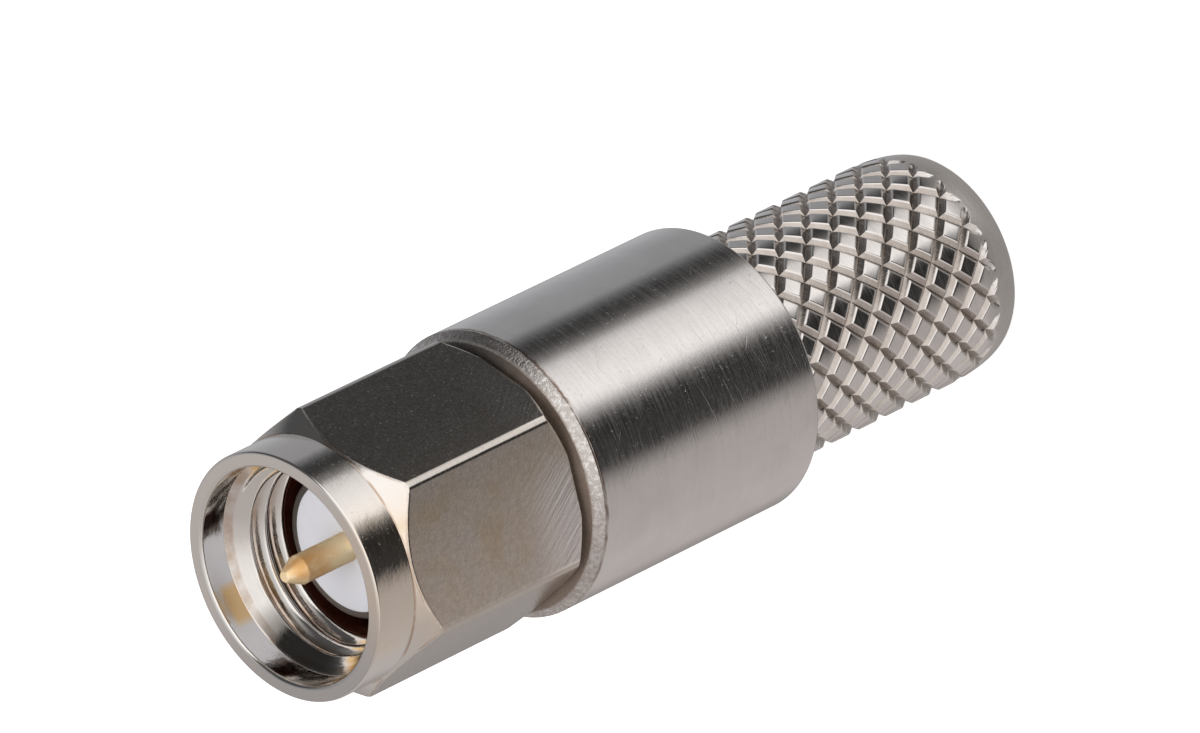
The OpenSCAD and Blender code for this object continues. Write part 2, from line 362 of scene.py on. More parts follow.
def ring_colours(graph, turn, stops):
    """One ring of the studio. turn runs from 0 at -180 degrees to 1 at 180 degrees."""
    placed = []
    for degrees, level, tint in stops:
        placed.append(((degrees + 180) / 360, [level * part for part in tint]))
    first, last = min(placed), max(placed)
    gap = first[0] + 1 - last[0]
    share = (1 - last[0]) / gap
    seam = [a + (b - a) * share for a, b in zip(last[1], first[1])]
    return graph.ramp(turn, [*placed, (0.0, seam), (1.0, seam)])


def build_world():
    """Soft studio light. The camera sees plain white behind the plug."""
    world = bpy.data.worlds.new("studio")
    bpy.context.scene.world = world
    world.use_nodes = True
    graph = Graph(world.node_tree)
    x, y, z = graph.split(graph.node("ShaderNodeTexCoord").outputs["Generated"])
    turn = graph.math("MULTIPLY_ADD", graph.math("ARCTAN2", y, x), 0.5 / math.pi, 0.5)
    level = graph.spread(z, *LEAN_HEIGHTS, -LEAN_REACH, LEAN_REACH, smooth=False)
    leaning = graph.math("FRACT", graph.plus(turn, level, LEAN))
    lower = ring_colours(graph, leaning, LOWER_RING)
    upper = ring_colours(graph, turn, UPPER_RING)
    around = graph.mix(graph.spread(z, *RINGS_FADE), lower, upper)
    around = graph.mix(graph.spread(z, *UNDER_FADE), UNDER, around)
    around = graph.mix(graph.spread(z, *OVERHEAD_FADE), around, OVERHEAD)
    seen = graph.node("ShaderNodeLightPath").outputs["Is Camera Ray"]
    light = graph.node("ShaderNodeBackground", {0: around, 1: 1.0})
    white = graph.node("ShaderNodeBackground", {0: WHITE, 1: 1.0})
    mixed = graph.node("ShaderNodeMixShader", {0: seen, 1: light.outputs[0], 2: white.outputs[0]})
    graph.node("ShaderNodeOutputWorld", {0: mixed.outputs[0]})


def add_lamp(name, azimuth, elevation, distance, size, watts):
    """A square soft light that faces the plug's middle. Distance and size are in metres.

    The metal doesn't mirror it, so that it leaves no square on the nut's front face.
    """
    lamp = bpy.data.lights.new(name, "AREA")
    lamp.shape = "SQUARE"
    lamp.size = size
    lamp.energy = watts
    placed = bpy.data.objects.new(name, lamp)
    placed.visible_glossy = False
    away = unit(azimuth, elevation)
    middle = (cad_box[0] + cad_box[1]) / 2
    placed.location = middle + away * distance
    placed.rotation_euler = away.to_track_quat("Z", "Y").to_euler()
    bpy.context.scene.collection.objects.link(placed)


def build_floor():
    """A pale floor that keeps the plug's shadow. The metal mirrors the studio instead of it."""
    bpy.ops.mesh.primitive_plane_add(size=FLOOR_SIZE, location=(0, 0, 0))
    floor = bpy.context.object
    floor.name = "floor"
    material = bpy.data.materials.new("pale floor")
    material.use_nodes = True
    graph = Graph(material.node_tree)
    seen = graph.node("ShaderNodeLightPath").outputs["Is Camera Ray"]
    matt = graph.node("ShaderNodeBsdfDiffuse", {0: FLOOR_GREY})
    lift = graph.node("ShaderNodeEmission", {0: WHITE, 1: graph.product(seen, FLOOR_LIFT)})
    both = graph.node("ShaderNodeAddShader", {0: matt.outputs[0], 1: lift.outputs[0]})
    graph.node("ShaderNodeOutputMaterial", {0: both.outputs[0]})
    floor.data.materials.append(material)
    floor.visible_glossy = False


# ------------------------------------------------ what all materials use


def start_material(name):
    """A material, its graph, and the place of each point in mm."""
    material = bpy.data.materials.new(name)
    material.use_nodes = True
    graph = Graph(material.node_tree)
    place = graph.times(graph.node("ShaderNodeTexCoord").outputs["Object"], 1 / MM)
    return material, graph, place


def finish_material(graph, height, settings, normal=None):
    """Principled shader with these settings. height is the relief of the surface in mm."""
    inputs = {"Height": height, "Distance": MM, "Strength": 1.0}
    if normal is not None:
        inputs["Normal"] = normal
    settings["Normal"] = graph.node("ShaderNodeBump", inputs).outputs[0]
    shader = graph.node("ShaderNodeBsdfPrincipled", settings)
    graph.node("ShaderNodeOutputMaterial", {0: shader.outputs[0]})


def stretched(graph, place, around, along):
    """place scaled by around across the axis and by along beside it, so that noise runs in rings."""
    return graph.vector("MULTIPLY", place, (around, around, along))


def from_axis(graph, place):
    """Distance from the axis, and the place split into x, y and z."""
    x, y, z = graph.split(place)
    square = graph.plus(graph.product(y, y), x, x)
    return graph.math("SQRT", square), x, y, z


def turned_axes(graph, first, second, degrees):
    """Two coordinates of a surface, turned by an angle."""
    a, b = math.cos(math.radians(degrees)), math.sin(math.radians(degrees))
    along = graph.plus(graph.product(second, b), first, a)
    across = graph.plus(graph.product(second, a), first, -b)
    return along, across


def uneven_plate(graph, noise, tint, darker):
    """The tint of a plate, in clouds that go down to darker times the tint."""
    return graph.mix(graph.spread(noise, 0.35, 0.65), tint, tuple(part * darker for part in tint))


# ------------------------------------------------ nickel of the body

BODY_TINT = (0.70, 0.685, 0.675)
WORN_CHAMFER = (0.38, 0.34, 0.31)
# painted shade in the gap behind the nut, and a lighter painted colour for the gap's lit side
GAP_SHADE = (0.035, 0.03, 0.027)
GAP_LIT = (0.24, 0.18, 0.14)
SEAM_DIRT = (0.20, 0.13, 0.09)
# colour that the contact sleeve turns towards its front rim
DARK_RIM = (0.11, 0.095, 0.085)


def scratches(graph, place, slant, fine):
    """A few thin straight scratches that run at a slant round the plug."""
    _, x, y, z = from_axis(graph, place)
    arc = graph.product(graph.math("ARCTAN2", y, x), BODY_R)
    along, across = turned_axes(graph, arc, z, slant)
    at = graph.join(graph.product(along, 0.5), graph.product(across, fine), 0.0)
    return graph.spread(graph.noise(at, 1.0, detail=1), 0.70, 0.76)


def seam_dirt(graph, place, above):
    """Share of a broken brown hairline at the seam, which bleeds on to the body."""
    wander = graph.noise(stretched(graph, place, 3.0, 1.2), detail=4)
    ragged = graph.math("ADD", above, graph.math("MULTIPLY_ADD", wander, 0.16, -0.08))
    line = graph.spread(graph.math("ABSOLUTE", ragged), 0.01, 0.10, 0.85, 0.0)
    broken = graph.spread(graph.noise(place, 1.3, detail=3), 0.35, 0.6, 0.35, 1.0)
    return graph.product(line, broken)


def body_relief(graph, place, grain, chamfer):
    """Turning marks, grain, a few dents and scratches, and the pitting of the flange's chamfer."""
    marks = graph.noise(stretched(graph, place, 0.5, 30), detail=3, rough=0.6)
    dents = graph.spread(graph.noise(place, 9, detail=1), 0.73, 0.79)
    pitting = graph.noise(place, 14, detail=4, rough=0.7)
    height = graph.plus(graph.product(grain, 0.0007), marks, 0.0014)
    height = graph.plus(height, dents, -0.002)
    height = graph.plus(height, scratches(graph, place, 12, 9), -0.0009)
    height = graph.plus(height, scratches(graph, place, -35, 7), -0.0008)
    return graph.plus(height, graph.product(pitting, chamfer), 0.008)


def turned_nickel():
    """Plate of shell and body, turned finely round the axis, with dirt at the seam between them,
    painted shade on the flange's front face and a darker rim on the contact sleeve.
    """
    material, graph, place = start_material("nickel body")
    radius, _, y, z = from_axis(graph, place)
    streaks = graph.noise(stretched(graph, place, 0.7, 14), detail=4, rough=0.65)
    grain = graph.noise(place, 9, detail=3)
    # the flange: its chamfer is rough, and its front face is dull and gets painted shade from the gap
    # behind the nut
    above = graph.math("SUBTRACT", z, BODY_FRONT)
    flange = graph.spread(above, 0.02, 0.07)
    wear = graph.spread(graph.noise(place, 7, detail=4, rough=0.7), 0.35, 0.6)
    chamfer = graph.product(flange, wear)
    front = graph.product(flange, graph.spread(radius, BODY_R - 0.20, BODY_R - 0.32))
    cloudy_share = graph.plus(graph.product(grain, 0.25), streaks, 0.75)
    roughness = graph.spread(cloudy_share, 0.36, 0.64, 0.08, 0.19)
    roughness = graph.plus(roughness, chamfer, 0.12)
    roughness = graph.plus(roughness, front, 0.25)
    colour = uneven_plate(graph, graph.noise(place, 0.8, detail=2), BODY_TINT, 0.95)
    colour = graph.mix(graph.product(chamfer, 0.68), colour, WORN_CHAMFER)
    # painted shade in the gap behind the nut: darker towards +y, lighter on the gap's lit side
    lit = graph.spread(graph.math("DIVIDE", y, radius), 0.1, 0.8, 1.0, 0.0)
    gap_shade = graph.mix(lit, GAP_SHADE, GAP_LIT)
    colour = graph.mix(graph.product(front, 0.92), colour, gap_shade)
    colour = graph.mix(seam_dirt(graph, place, above), colour, SEAM_DIRT)
    # the contact sleeve is darker from just below its front rim onwards
    rim_darkening = graph.spread(z, MATING_Z - 0.22, MATING_Z - 0.16, 0.0, 0.75)
    settings = {
        "Base Color": graph.mix(rim_darkening, colour, DARK_RIM),
        "Metallic": graph.rest(graph.product(front, 0.6)),
        "Roughness": roughness,
    }
    finish_material(graph, body_relief(graph, place, grain, chamfer), settings)
    return material


# ------------------------------------------------ nickel of the stub

KNURL_TINT = (0.72, 0.70, 0.685)
DULL_GROOVE = (0.43, 0.39, 0.355)
# painted shade in the deepest parts of the grooves
GROOVE_SHADE = (0.20, 0.155, 0.125)


def knurled_nickel():
    """Plate of the stub: bright tops, tarnished grooves with painted shade deep in them, and a satin
    rear end.
    """
    material, graph, place = start_material("nickel knurl")
    radius, _, _, z = from_axis(graph, place)
    grain = graph.noise(place, 12, detail=3)
    cloud = graph.noise(place, 1.6, detail=3)
    streaks = graph.noise(stretched(graph, place, 0.8, 12), detail=4, rough=0.65)
    end = graph.spread(z, KNURL_END + 0.75, KNURL_END + 0.05)
    knurl = graph.rest(end)
    groove = graph.product(graph.spread(radius, STUB_R - 0.012, STUB_R - 0.05), knurl)
    roughness = graph.spread(streaks, 0.36, 0.64, 0.06, 0.15)
    roughness = graph.plus(roughness, groove, 0.15)
    roughness = graph.plus(roughness, end, 0.17)
    colour = uneven_plate(graph, cloud, KNURL_TINT, 0.93)
    tarnish = graph.product(groove, graph.spread(cloud, 0.3, 0.7, 0.75, 1.0))
    colour = graph.mix(tarnish, colour, DULL_GROOVE)
    # painted shade in the deepest parts of the grooves, in patches
    deep_shade = graph.spread(radius, STUB_R - 0.12, STUB_R - KNURL_DEPTH)
    patchy = graph.spread(graph.noise(place, 1.1, detail=3), 0.42, 0.62, 0.15, 0.8)
    colour = graph.mix(graph.product(deep_shade, patchy, knurl), colour, GROOVE_SHADE)
    height = graph.product(grain, graph.math("MULTIPLY_ADD", groove, 0.004, 0.0006))
    settings = {"Base Color": colour, "Metallic": 1.0, "Roughness": roughness}
    finish_material(graph, height, settings)
    return material


# ------------------------------------------------ nickel of the nut

NUT_TINT = (0.71, 0.69, 0.665)
NUT_WARM = (0.74, 0.655, 0.56)
WARM_SPOTS = (0.66, 0.52, 0.33)
MOTTLED = (0.45, 0.39, 0.33)
DULL_CORNER = (0.40, 0.38, 0.36)
RUBBED_BRIGHT = (0.92, 0.88, 0.86)
FRONT_SOIL = (0.45, 0.45, 0.455)
BROWN_EDGE = (0.46, 0.34, 0.25)
# painted warm reflection on the bore's lead-in wall
WALL_REFLECTION = (0.78, 0.55, 0.28)
CONE_SOIL = (0.13, 0.12, 0.11)
# painted warm reflection in the thread's roots
THREAD_ROOT_REFLECTION = (0.34, 0.23, 0.15)

# sides of the plug on which they lie
TARNISH_SIDE = -34
WALL_REFLECTION_SIDE = 171
CONE_SOIL_SIDE = -148
SOILED_SIDE = -115

MILLING_SLANT = 35
HALF_FLAT = 2.24  # half the width of a flat, between the rounded corners
FLAT_CROWN = 0.006  # how far a flat falls, 1 mm beside its highest line
FLAT_HIGH = 2.5  # where that line lies, beside the flat's middle


class NutPlace:
    """Where each point of the nut lies, round the axis and on the flat that it belongs to.

    The flats are counted by which, and middle is the direction that a flat faces, in radians. A point
    lies at across beside the flat's middle line, and at distance from the axis in that direction.
    """

    def __init__(self, graph, place):
        half_side, side = math.radians(FLAT_ANGLE / 2), math.radians(FLAT_ANGLE)
        self.graph, self.place = graph, place
        self.radius, self.x, self.y, self.z = from_axis(graph, place)
        turn = graph.math("SUBTRACT", graph.math("ARCTAN2", self.y, self.x), half_side)
        off = graph.math("WRAP", turn, half_side, -half_side)
        self.across = graph.product(self.radius, graph.math("SINE", off))
        self.distance = graph.product(self.radius, graph.math("COSINE", off))
        self.which = graph.math("ROUND", graph.math("DIVIDE", turn, side))
        self.middle = graph.math("MULTIPLY_ADD", self.which, side, half_side)
        self.on_flat = graph.product(
            graph.spread(self.distance, FLAT_R - 0.03, FLAT_R - 0.005),
            graph.spread(self.z, COLLAR_Z + 0.02, COLLAR_Z - 0.02),
        )
        self.near_rear = graph.product(
            graph.spread(self.z, REAR_Z + 2.6, REAR_Z + 0.5), graph.spread(self.across, 2.0, -0.5)
        )
        self.inside = graph.spread(self.radius, THREAD_ROOT_R + 0.10, THREAD_ROOT_R + 0.02)
        self.side = graph.spread(self.facing(TARNISH_SIDE), 0.72, 0.96)

    def facing(self, azimuth):
        """Cosine of the angle between each point's side of the axis and this azimuth."""
        aim = math.radians(azimuth)
        reach = self.graph.plus(self.graph.product(self.y, math.sin(aim)), self.x, math.cos(aim))
        return self.graph.math("DIVIDE", reach, self.radius)


def bore_stains_and_reflection(graph, at):
    """Shares of brown on the lead-in cone, of the painted warm reflection on its wall, and of soil on
    the cone.
    """
    below = graph.spread(at.z, LEAD_Z + 0.01, LEAD_Z - 0.02)
    cone = graph.product(
        graph.spread(at.radius, LEAD_R - 0.24, LEAD_R - 0.18),
        graph.spread(at.radius, LEAD_R + 0.01, LEAD_R - 0.01),
    )
    uneven = graph.spread(graph.noise(at.place, 1.6, detail=3), 0.3, 0.7, 0.15, 0.8)
    # painted warm reflection: an orange patch on the lead-in wall on one side
    wall_reflection = graph.product(
        graph.spread(at.radius, LEAD_R + 0.1, LEAD_R + 0.05),
        graph.spread(at.facing(WALL_REFLECTION_SIDE), 0.975, 0.993),
        graph.spread(at.z, FRONT_Z - 0.2, FRONT_Z - 0.5),
        graph.rest(below),
    )
    within = graph.product(
        below,
        graph.spread(at.radius, LEAD_R - 0.01, LEAD_R - 0.06),
        graph.spread(at.z, THREAD_FRONT - 0.1, THREAD_FRONT),
    )
    soil = graph.spread(at.facing(CONE_SOIL_SIDE), 0.80, 0.96, 0.0, 0.85)
    return graph.product(cone, below, uneven), wall_reflection, graph.product(within, soil)


def edge_lines(graph, at):
    """Thin lines where the chamfer meets the flats and the collar, and how broken they are."""
    edge = graph.product(
        graph.spread(at.distance, FLAT_R - 0.07, FLAT_R - 0.02),
        graph.rest(at.on_flat),
        graph.spread(at.z, COLLAR_Z - 0.6, COLLAR_Z - 0.5),
        graph.spread(at.z, COLLAR_Z + 0.05, COLLAR_Z),
    )
    from_collar = graph.math("ABSOLUTE", graph.math("SUBTRACT", at.z, COLLAR_Z))
    ridge = graph.product(
        graph.spread(from_collar, 0.05, 0.01),
        graph.spread(at.radius, COLLAR_R - 0.1, COLLAR_R - 0.05),
    )
    broken = graph.spread(graph.noise(at.place, 1.1, detail=3), 0.4, 0.6, 0.1, 0.9)
    return graph.math("MAXIMUM", edge, ridge), broken


def nut_colour(graph, at):
    """Plate of the nut under its tarnish, soil and worn places, with painted warm reflections in its
    bore.
    """
    cloud = graph.spread(graph.noise(at.place, 0.7, detail=3), 0.25, 0.65, 0.5, 1.0)
    colour = graph.mix(graph.product(at.side, cloud), NUT_TINT, NUT_WARM)
    spots = graph.spread(graph.noise(at.place, 0.8, detail=2), 0.50, 0.75, 0.0, 0.5)
    colour = graph.mix(graph.product(spots, at.side), colour, WARM_SPOTS)
    mottled = graph.product(
        graph.spread(graph.noise(at.place, 5, detail=5, rough=0.75), 0.3, 0.7),
        at.on_flat,
        graph.spread(at.near_rear, 0.2, 0.8, 0.45, 0.0),
    )
    colour = graph.mix(mottled, colour, MOTTLED)
    corner = graph.product(
        graph.spread(graph.math("ABSOLUTE", at.across), HALF_FLAT - 0.10, HALF_FLAT - 0.04),
        graph.spread(at.z, COLLAR_Z - 0.5, COLLAR_Z - 0.8),
        0.6,
    )
    colour = graph.mix(corner, colour, DULL_CORNER)
    rubbed = graph.product(at.near_rear, at.side, at.on_flat)
    colour = graph.mix(rubbed, colour, RUBBED_BRIGHT)
    low = graph.spread(at.facing(SOILED_SIDE), 0.1, 1.0, 0.0, 0.75)
    soiled = graph.product(graph.spread(at.z, FRONT_Z - 0.03, FRONT_Z - 0.005), low)
    colour = graph.mix(soiled, colour, FRONT_SOIL)
    brown, wall_reflection, soil = bore_stains_and_reflection(graph, at)
    brown = graph.plus(brown, *edge_lines(graph, at))
    for share, stain_and_reflection in ((brown, BROWN_EDGE), (wall_reflection, WALL_REFLECTION), (soil, CONE_SOIL)):
        colour = graph.mix(share, colour, stain_and_reflection)
    # painted warm reflection: the thread's roots turn brown, in clouds
    root_reflection = graph.product(
        graph.spread(at.radius, THREAD_CREST_R + 0.06, THREAD_ROOT_R),
        at.inside,
        graph.spread(at.z, THREAD_FRONT, THREAD_FRONT - 0.1),
        graph.spread(graph.noise(at.place, 1.2, detail=3), 0.3, 0.7, 0.45, 0.9),
    )
    return graph.mix(root_reflection, colour, THREAD_ROOT_REFLECTION)


def nut_roughness(graph, at, grain):
    """Turned faces are smoother than the etched flats, and the bore behind the thread is dull."""
    streaks = graph.noise(stretched(graph, at.place, 0.7, 14), detail=4, rough=0.65)
    turned = graph.spread(streaks, 0.36, 0.64, 0.05, 0.13)
    etched = graph.spread(grain, 0.35, 0.65, 0.10, 0.17)
    behind = graph.product(at.inside, graph.spread(at.z, THREAD_REAR + 0.1, THREAD_REAR - 0.1))
    return graph.plus(graph.mix_numbers(at.on_flat, turned, etched), behind, 0.25)


def nut_relief(graph, at, grain):
    """Rings on the turned faces, slanted milling marks and grain on the flats, and fine specks."""
    over, along = turned_axes(graph, at.across, at.z, MILLING_SLANT)
    lines_at = graph.join(graph.product(over, 8), graph.product(along, 0.35), at.which)
    lines = graph.noise(lines_at, 1.0, detail=4, rough=0.6)
    ridges = graph.product(lines, at.near_rear, 0.0035)
    ridges = graph.plus(ridges, graph.product(ridges, at.side), 1.4)
    marks = graph.noise(stretched(graph, at.place, 0.5, 30), detail=3, rough=0.6)
    waves = graph.noise(stretched(graph, at.place, 1.6, 3.0), detail=3, rough=0.6)
    rings = graph.plus(graph.product(waves, 0.006), marks, 0.0012)
    height = graph.mix_numbers(at.on_flat, rings, graph.plus(ridges, grain, 0.0018))
    specks = graph.spread(graph.noise(at.place, 13, detail=3, rough=0.6), 0.66, 0.74)
    return graph.plus(height, specks, -0.0012)


def crowned_normal(graph, at):
    """The surface's normal, with the flats faintly crowned and highest towards one of their corners."""
    slope = graph.product(graph.math("SUBTRACT", at.across, FLAT_HIGH), 2 * FLAT_CROWN, at.on_flat)
    sideways = graph.join(
        graph.product(graph.math("SINE", at.middle), -1.0), graph.math("COSINE", at.middle), 0.0
    )
    in_world = graph.node(
        "ShaderNodeVectorTransform", {0: sideways},
        vector_type="VECTOR", convert_from="OBJECT", convert_to="WORLD",
    ).outputs[0]
    true_normal = graph.node("ShaderNodeNewGeometry").outputs["Normal"]
    return graph.vector("NORMALIZE", graph.vector("ADD", true_normal, graph.times(in_world, slope)))


def nut_nickel():
    """Bright plate of the nut, with etched flats and a warm tarnish on one side."""
    material, graph, place = start_material("nickel nut")
    at = NutPlace(graph, place)
    grain = graph.noise(place, 12, detail=4, rough=0.65)
    settings = {
        "Base Color": nut_colour(graph, at),
        "Metallic": 1.0,
        "Roughness": nut_roughness(graph, at, grain),
    }
    finish_material(graph, nut_relief(graph, at, grain), settings, crowned_normal(graph, at))
    return material


# ------------------------------------------------ other materials

GOLD = (1.0, 0.85, 0.57)
GOLD_DEEP = (1.0, 0.77, 0.46)
# painted shade round the shoulder of the pin's tip
GOLD_SHADE = (0.82, 0.46, 0.16)
PTFE = (0.76, 0.77, 0.84)
PTFE_PALE = (0.82, 0.83, 0.88)
SILICONE = (0.40, 0.09, 0.055)
SILICONE_DUSTY = (0.50, 0.19, 0.13)
BRONZE = (0.62, 0.43, 0.24)
BRONZE_DARK = (0.48, 0.30, 0.16)


def gold():
    """Gold plate over a turned pin, with painted shade in a redder tone round the shoulder of its tip.
    """
    material, graph, place = start_material("gold plate")
    radius, _, _, z = from_axis(graph, place)
    cloud = graph.noise(stretched(graph, place, 2.2, 1.1), detail=3)
    shoulder = PIN_TIP - PIN_TIP_L
    # painted shade: darker and redder round the tip's shoulder, in clouds
    cloudy_share = graph.product(
        graph.spread(z, shoulder - 1.5, shoulder - 0.1),
        graph.spread(radius, 0.12, 0.34),
        graph.spread(cloud, 0.3, 0.6, 0.3, 0.9),
    )
    plate = graph.mix(graph.spread(cloud, 0.35, 0.65), GOLD, GOLD_DEEP)
    settings = {
        "Base Color": graph.mix(cloudy_share, plate, GOLD_SHADE),
        "Metallic": 0.5,
        "Roughness": graph.spread(cloud, 0.3, 0.7, 0.26, 0.36),
    }
    finish_material(graph, 0.0, settings)
    return material


def fluoropolymer():
    """White insulator, waxy and faintly blue, with faint turning rings."""
    material, graph, place = start_material("white insulator")
    radius, _, _, z = from_axis(graph, place)
    rings_at = graph.join(graph.product(radius, 14), graph.product(z, 6), 0.0)
    settings = {
        "Base Color": graph.mix(graph.noise(place, 1.5, detail=2), PTFE, PTFE_PALE),
        "Roughness": 0.38,
        "Subsurface Weight": 0.15,
        "Subsurface Radius": (0.001, 0.001, 0.0012),
        "Subsurface Scale": 0.3,
    }
    finish_material(graph, graph.product(graph.noise(rings_at, detail=2), 0.002), settings)
    return material


def silicone():
    """Dull red-brown gasket with a dusty bloom."""
    material, graph, place = start_material("red silicone")
    bloom = graph.noise(place, 6, detail=4)
    settings = {
        "Base Color": graph.mix(graph.spread(bloom, 0.4, 0.75), SILICONE, SILICONE_DUSTY),
        "Roughness": graph.spread(bloom, 0.3, 0.7, 0.42, 0.62),
    }
    finish_material(graph, graph.product(bloom, 0.01), settings)
    return material


def bronze():
    """Spring bronze of the split ring, drawn and slightly oxidised."""
    material, graph, place = start_material("spring bronze")
    drawn = graph.noise(stretched(graph, place, 0.6, 20), detail=3)
    settings = {
        "Base Color": graph.mix(drawn, BRONZE, BRONZE_DARK),
        "Metallic": 1.0,
        "Roughness": graph.spread(drawn, 0.3, 0.7, 0.22, 0.42),
    }
    finish_material(graph, graph.product(drawn, 0.002), settings)
    return material


# ------------------------------------------------ meshes


def rounded(corners):
    """Points of an outline whose corners are (radius, height, rounding). A rounding becomes an arc."""
    points = []
    for i, (r, z, edge) in enumerate(corners):
        here = np.array((r, z), float)
        before = np.array(corners[i - 1][:2], float) - here
        after = np.array(corners[(i + 1) % len(corners)][:2], float) - here
        reach_in, reach_out = np.linalg.norm(before), np.linalg.norm(after)
        before, after = before / reach_in, after / reach_out
        opening = math.acos(float(np.clip(before @ after, -1, 1)))
        if edge <= 0 or opening > STRAIGHT:
            points.append(here)
            continue
        cut = min(edge / math.tan(opening / 2), reach_in * MOST_CUT, reach_out * MOST_CUT)
        radius = cut * math.tan(opening / 2)
        inward = (before + after) / np.linalg.norm(before + after)
        middle = here + inward * radius / math.sin(opening / 2)
        start, end = here + before * cut - middle, here + after * cut - middle
        sweep = math.pi - opening
        pieces = max(2, math.ceil(math.degrees(sweep) / ARC_STEP))
        if reach_in - cut > 3 * FINE:
            points.append(here + before * (cut + FINE))
        for k in range(pieces + 1):
            share = k / pieces
            a = math.sin((1 - share) * sweep) / math.sin(sweep)
            b = math.sin(share * sweep) / math.sin(sweep)
            points.append(middle + start * a + end * b)
        if reach_out - cut > 3 * FINE:
            points.append(here + after * (cut + FINE))
    return np.array(points)


def add_rows(outline, heights, start, end):
    """The outline with more points on its straight stretch between two (radius, height) corners."""
    (low_r, low), (high_r, high) = sorted((start, end), key=lambda corner: corner[1])
    radii, levels = outline[:, 0], outline[:, 1]
    between = (levels < high + TINY) & (levels > low - TINY) & (radii > min(low_r, high_r) - FINE)
    wide = [i for i in np.where(between)[0][:-1] if levels[i] - levels[i + 1] > 0.1]
    if not wide:
        return outline
    at = wide[0]
    extra = np.stack([np.interp(heights, (low, high), (low_r, high_r)), heights], 1)
    extra = extra[(heights < levels[at] - 0.01) & (heights > levels[at + 1] + 0.01)]
    return np.concatenate([outline[: at + 1], extra, outline[at + 1 :]])


def even_angles(columns):
    """Angles of columns that stand evenly round the axis."""
    return np.arange(columns) * 2 * math.pi / columns


def ring_points(radii, heights, angles):
    """Points of rings round the axis. radii is one number a ring, or one for each ring and angle."""
    radii = np.asarray(radii, float)
    if radii.ndim == 1:
        radii = np.repeat(radii[:, None], len(angles), axis=1)
    heights = np.repeat(np.asarray(heights, float)[:, None], len(angles), axis=1)
    points = np.stack([radii * np.cos(angles), radii * np.sin(angles), heights], axis=2)
    return points.reshape(-1, 3)


def ring_faces(rows, columns, closed=True):
    """Quads between neighbouring rings. closed joins the last ring to the first."""
    last = rows if closed else rows - 1
    faces = []
    for i in range(last):
        a, b = i * columns, (i + 1) % rows * columns
        for j in range(columns):
            k = (j + 1) % columns
            faces.append((a + j, a + k, b + k, b + j))
    return faces


def soft_min(a, b, width):
    """The smaller of two radii, blended over width where they are close."""
    near = np.clip(width - np.abs(a - b), 0, None) / width
    return np.minimum(a, b) - near * near * width / 4


def add_piece(name, points, faces, body, material, replaced, sharp=None):
    """A mesh from points in mm. It rides on a body and stands for the CAD nodes in replaced."""
    mesh = bpy.data.meshes.new(name)
    mesh.from_pydata((np.asarray(points) * MM).tolist(), [], faces)
    mesh.update()
    mesh.shade_smooth()
    if sharp:
        mesh.set_sharp_from_angle(angle=math.radians(sharp))
    mesh.materials.append(material)
    piece = bpy.data.objects.new(name, mesh)
    bpy.context.scene.collection.objects.link(piece)
    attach(piece, body)
    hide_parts(*replaced)
    return piece


def turned_piece(name, corners, columns, body, material, replaced):
    """A closed turned solid whose outline goes round once and doesn't touch the axis."""
    outline = rounded(corners)
    points = ring_points(outline[:, 0], outline[:, 1], even_angles(columns))
    faces = ring_faces(len(outline), columns)
    return add_piece(name, points, faces, body, material, replaced)


def turn_outward(piece):
    """Makes every face point out of its solid."""
    shape = bmesh.new()
    shape.from_mesh(piece.data)
    bmesh.ops.recalc_face_normals(shape, faces=shape.faces)
    shape.to_mesh(piece.data)
    shape.free()


# ------------------------------------------------ coupling nut


def thread_radius(angles, heights):
    """Radius of the right-hand internal thread, with rounded crests, at each height and angle."""
    turns = (angles[None, :] - math.radians(THREAD_START)) / (2 * math.pi)
    phase = (heights[:, None] - FRONT_Z) / THREAD_PITCH - turns
    off = (phase - np.round(phase)) * THREAD_PITCH
    share = np.clip((np.abs(off) - THREAD_ROOT_HALF) / THREAD_FLANK, 0, 1)
    share = 0.5 - 0.5 * np.cos(math.pi * share)
    return THREAD_ROOT_R + (THREAD_CREST_R - THREAD_ROOT_R) * share


def hexagon_radius(angles):
    """Distance from the axis to the hexagon's side at each angle."""
    off = angles % math.radians(FLAT_ANGLE) - math.radians(FLAT_ANGLE / 2)
    return FLAT_R / np.cos(off)


def nut_angles():
    """Angles of the nut's columns, closer together at the hexagon's corners."""
    corner = np.linspace(-CORNER_ANGLE, CORNER_ANGLE, CORNER_COLUMNS, endpoint=False)
    flat = np.linspace(CORNER_ANGLE, FLAT_ANGLE - CORNER_ANGLE, FLAT_COLUMNS, endpoint=False)
    sector = np.concatenate([corner, flat])
    return np.radians(np.concatenate([sector + FLAT_ANGLE * k for k in range(NUT_SIDES)]))


